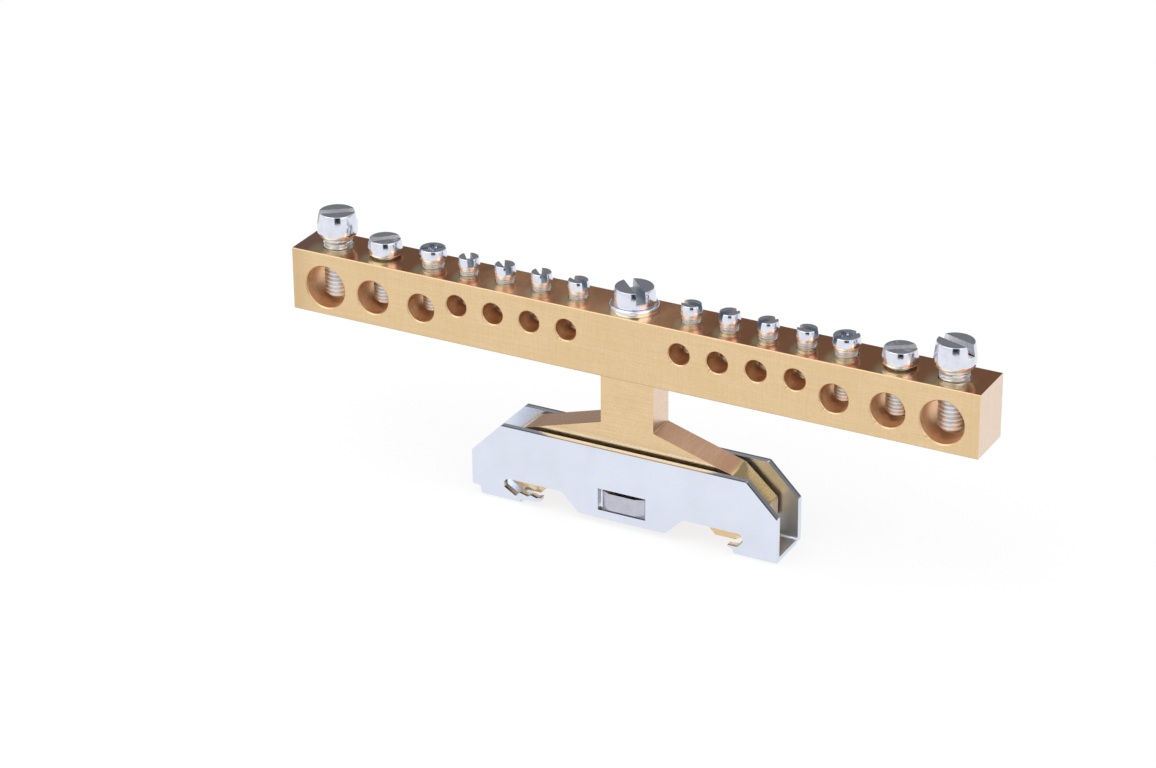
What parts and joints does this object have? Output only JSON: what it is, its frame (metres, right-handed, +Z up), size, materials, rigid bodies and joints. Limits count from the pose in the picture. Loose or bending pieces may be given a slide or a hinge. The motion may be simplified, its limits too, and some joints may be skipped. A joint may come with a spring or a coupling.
{
  "type": "earth terminal bar",
  "caption": "Brass earth terminal bar with wire holes under clamp screws, on a T-shaped foot whose folded steel clip grips a 35 mm top-hat rail.",
  "frame": {"origin": "middle of the part's footprint, in the plane of the underside of the clip's two straps", "axes": "+X along the bar, to the right as pictured; -Y towards the viewer, the way wires leave the front; +Z up, along the screws"},
  "size_m": [0.1006, 0.0076, 0.036],
  "materials": {
    "bar_brass": "drawn brass with fine lengthwise grain",
    "foot_brass": "extruded brass, slightly tarnished",
    "clip_zinc": "bright zinc plating on folded sheet",
    "nut_zinc": "zinc plating",
    "screw_zinc": "bright zinc plating"
  },
  "bodies": {
    "rail_mount": {"rail_clip": "clip_zinc", "clamp_nut": "nut_zinc"},
    "bar": {"terminal_bar": "bar_brass", "rail_foot": "foot_brass", "centre_screw": "screw_zinc", "centre_washer": "screw_zinc"},
    "large_screw_left_body": {"large_screw_left": "screw_zinc"},
    "medium_screw_left_body": {"medium_screw_left": "screw_zinc"},
    "combi_screw_left_body": {"combi_screw_left": "screw_zinc"},
    "small_screw_1_body": {"small_screw_1": "screw_zinc"},
    "small_screw_2_body": {"small_screw_2": "screw_zinc"},
    "small_screw_3_body": {"small_screw_3": "screw_zinc"},
    "small_screw_4_body": {"small_screw_4": "screw_zinc"},
    "small_screw_5_body": {"small_screw_5": "screw_zinc"},
    "small_screw_6_body": {"small_screw_6": "screw_zinc"},
    "small_screw_7_body": {"small_screw_7": "screw_zinc"},
    "small_screw_8_body": {"small_screw_8": "screw_zinc"},
    "combi_screw_right_body": {"combi_screw_right": "screw_zinc"},
    "medium_screw_right_body": {"medium_screw_right": "screw_zinc"},
    "large_screw_right_body": {"large_screw_right": "screw_zinc"}
  },
  "joints": [
    {"name": "clamp_travel", "type": "slide", "parent": "rail_mount", "child": "bar", "axis": [0, 0, 1], "range_m": [0, 0.002]},
    {"name": "large_screw_left_travel", "type": "slide", "parent": "bar", "child": "large_screw_left_body", "axis": [0, 0, 1], "range_m": [-0.00025, 0.0053]},
    {"name": "medium_screw_left_travel", "type": "slide", "parent": "bar", "child": "medium_screw_left_body", "axis": [0, 0, 1], "range_m": [-0.00015, 0.0042]},
    {"name": "combi_screw_left_travel", "type": "slide", "parent": "bar", "child": "combi_screw_left_body", "axis": [0, 0, 1], "range_m": [-0.00015, 0.0035]},
    {"name": "small_screw_1_travel", "type": "slide", "parent": "bar", "child": "small_screw_1_body", "axis": [0, 0, 1], "range_m": [-0.0001, 0.0026]},
    {"name": "small_screw_2_travel", "type": "slide", "parent": "bar", "child": "small_screw_2_body", "axis": [0, 0, 1], "range_m": [-0.0001, 0.0026]},
    {"name": "small_screw_3_travel", "type": "slide", "parent": "bar", "child": "small_screw_3_body", "axis": [0, 0, 1], "range_m": [-0.0001, 0.0026]},
    {"name": "small_screw_4_travel", "type": "slide", "parent": "bar", "child": "small_screw_4_body", "axis": [0, 0, 1], "range_m": [-0.0001, 0.0026]},
    {"name": "small_screw_5_travel", "type": "slide", "parent": "bar", "child": "small_screw_5_body", "axis": [0, 0, 1], "range_m": [-0.0001, 0.0026]},
    {"name": "small_screw_6_travel", "type": "slide", "parent": "bar", "child": "small_screw_6_body", "axis": [0, 0, 1], "range_m": [-0.0001, 0.0026]},
    {"name": "small_screw_7_travel", "type": "slide", "parent": "bar", "child": "small_screw_7_body", "axis": [0, 0, 1], "range_m": [-0.0001, 0.0026]},
    {"name": "small_screw_8_travel", "type": "slide", "parent": "bar", "child": "small_screw_8_body", "axis": [0, 0, 1], "range_m": [-0.0001, 0.0026]},
    {"name": "combi_screw_right_travel", "type": "slide", "parent": "bar", "child": "combi_screw_right_body", "axis": [0, 0, 1], "range_m": [-0.00015, 0.0035]},
    {"name": "medium_screw_right_travel", "type": "slide", "parent": "bar", "child": "medium_screw_right_body", "axis": [0, 0, 1], "range_m": [-0.00015, 0.0042]},
    {"name": "large_screw_right_travel", "type": "slide", "parent": "bar", "child": "large_screw_right_body", "axis": [0, 0, 1], "range_m": [-0.00025, 0.0053]}
  ]
}
